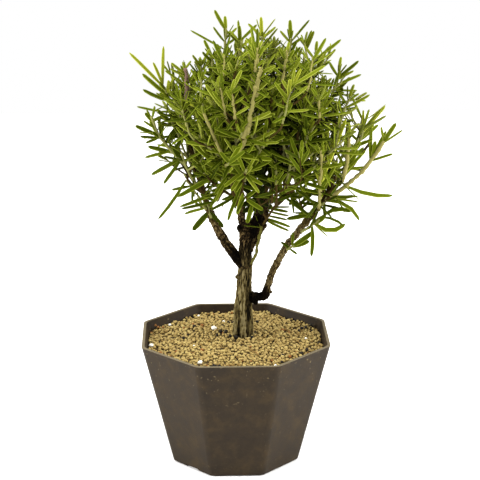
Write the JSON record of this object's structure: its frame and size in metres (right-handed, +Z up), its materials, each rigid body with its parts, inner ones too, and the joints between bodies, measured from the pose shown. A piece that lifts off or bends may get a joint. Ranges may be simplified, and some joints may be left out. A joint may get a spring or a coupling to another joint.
{
  "type": "potted rosemary bonsai",
  "caption": "Rosemary bonsai with a furrowed trunk, bare lower boughs and a rounded crown of needles, in a tapered octagonal plastic pot that stands on its flat underside.",
  "frame": {"origin": "centre of the pot's flat underside", "axes": "+Z up along the trunk, +X to the right as the picture sees it, and one side of the pot faces -Y"},
  "size_m": [0.1682, 0.1445, 0.2914],
  "materials": {
    "pot_plastic": "moulded matte plastic, dark brown-grey and faintly mottled",
    "akadama": "fired clay granules of about 2 mm, dry and dusty",
    "old_bark": "furrowed old bark, dry",
    "bough_bark": "young flaking bark, dry",
    "needles": "soft leathery leaves with a faint sheen"
  },
  "bodies": {
    "root": {"pot": "pot_plastic", "soil": "akadama", "trunk": "old_bark", "right_leader": "bough_bark", "centre_leader": "bough_bark", "left_bough": "bough_bark", "low_bough_foot": "bough_bark", "low_bough": "bough_bark", "side_shoot": "bough_bark", "back_left_bough": "bough_bark", "back_right_bough": "bough_bark", "top_foliage": "needles", "front_foliage": "needles", "right_top_foliage": "needles", "right_front_foliage": "needles", "left_foliage": "needles", "right_low_foliage": "needles", "back_left_foliage": "needles", "back_right_foliage": "needles"}
  },
  "joints": []
}
